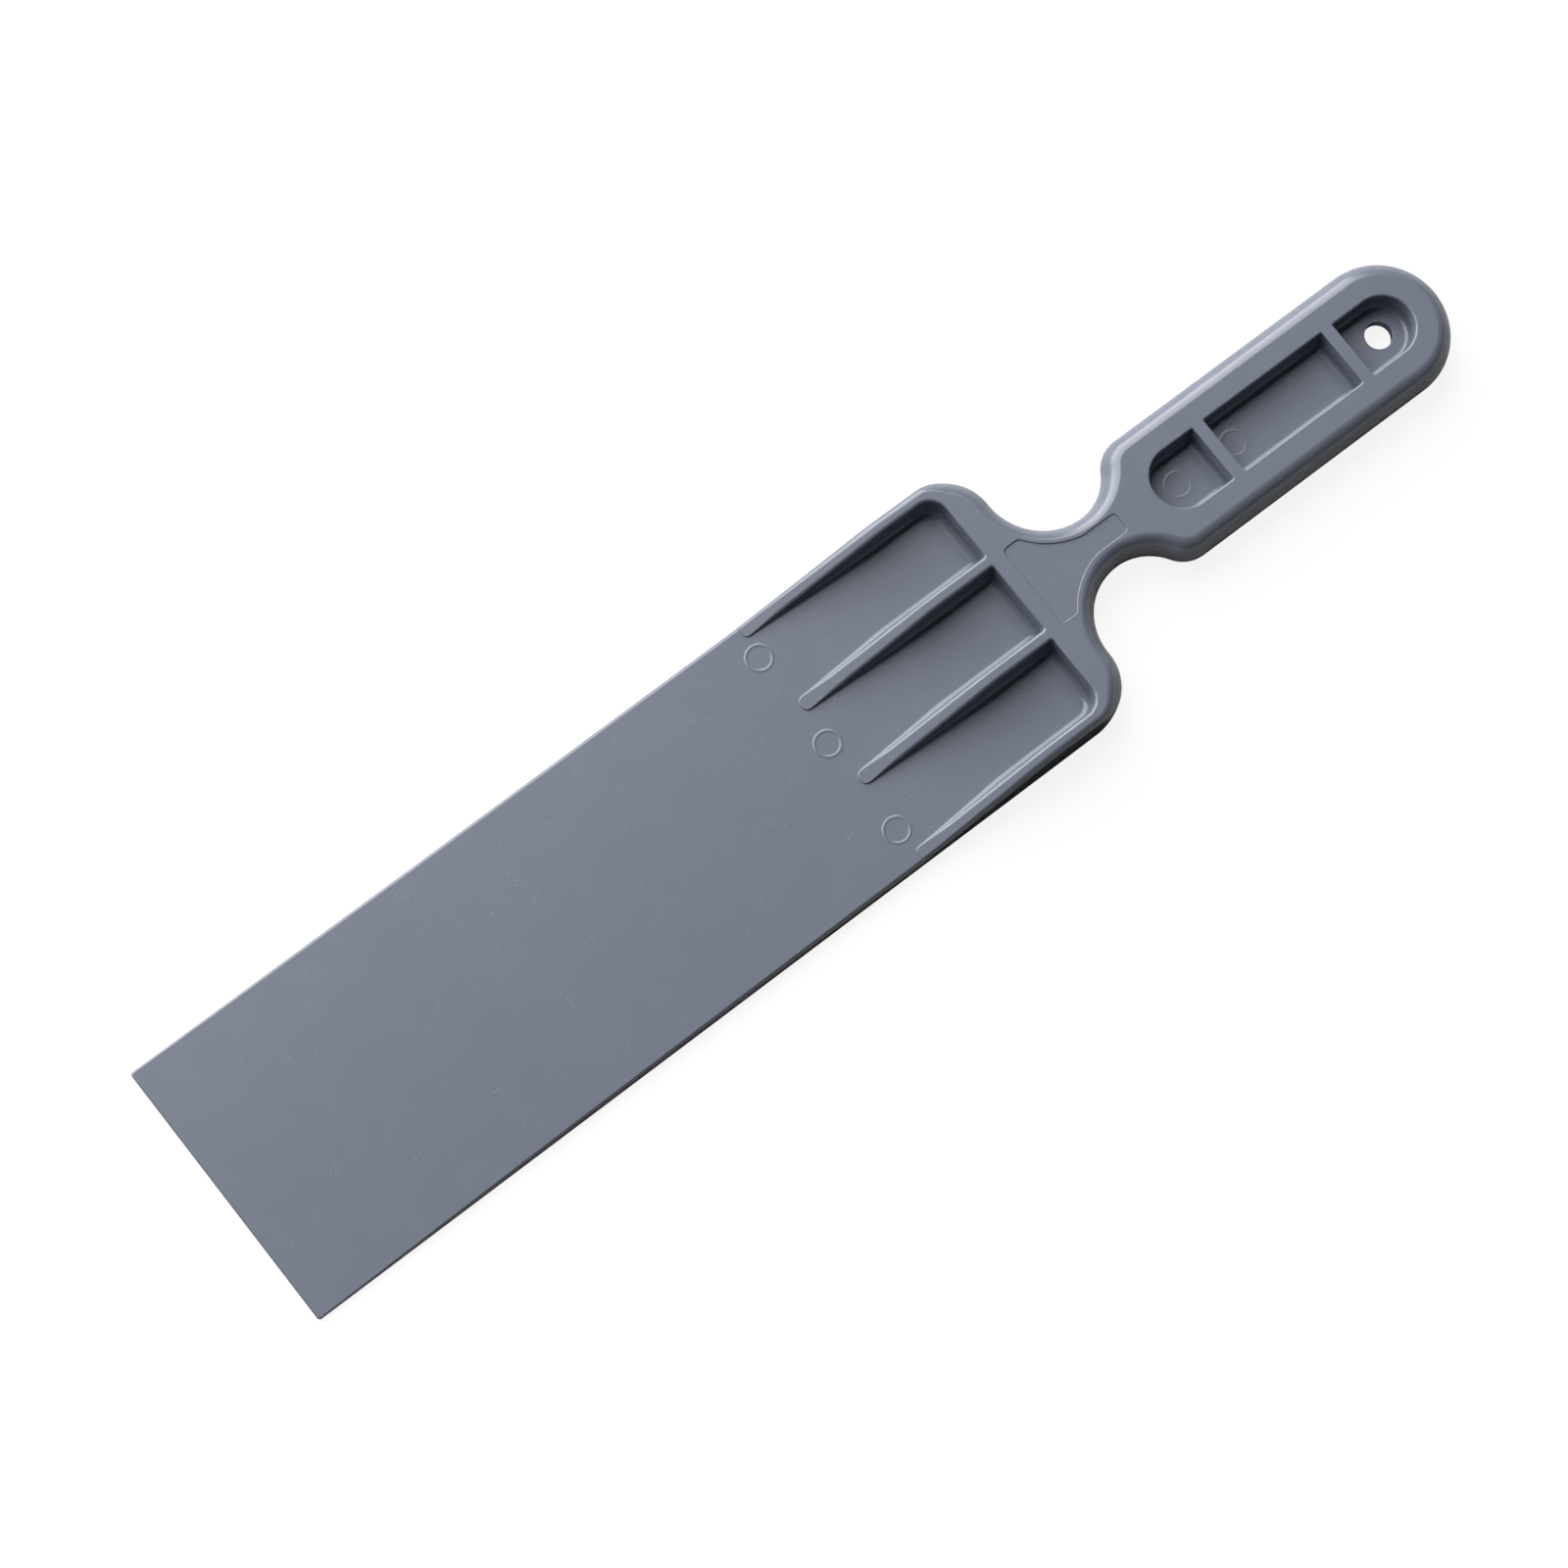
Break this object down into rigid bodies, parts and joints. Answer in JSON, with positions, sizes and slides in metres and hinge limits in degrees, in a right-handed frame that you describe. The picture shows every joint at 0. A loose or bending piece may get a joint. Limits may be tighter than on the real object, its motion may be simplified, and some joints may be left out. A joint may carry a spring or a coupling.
{
  "type": "wrap squeegee",
  "caption": "Long-reach moulded plastic squeegee for vinyl wrap: a thin flexible blade, a ribbed frame behind it, a narrow neck and a hollow-faced grip with a hang hole.",
  "frame": {"origin": "middle of the flat back, under the centre of the overall length and width", "axes": "+X from the working edge towards the grip's end, +Y across the blade, +Z out of the ribbed face"},
  "size_m": [0.3196, 0.063, 0.0106],
  "materials": {
    "plastic": "semi-matte moulded, slate grey"
  },
  "bodies": {
    "root": {"blade": "plastic", "left_rim": "plastic", "right_rim": "plastic", "left_rib": "plastic", "right_rib": "plastic", "shoulder_bar": "plastic", "neck": "plastic", "grip_nose_block": "plastic", "left_grip_rail": "plastic", "right_grip_rail": "plastic", "grip_end": "plastic", "grip_web": "plastic", "front_cross_rib": "plastic", "rear_cross_rib": "plastic"}
  },
  "joints": []
}
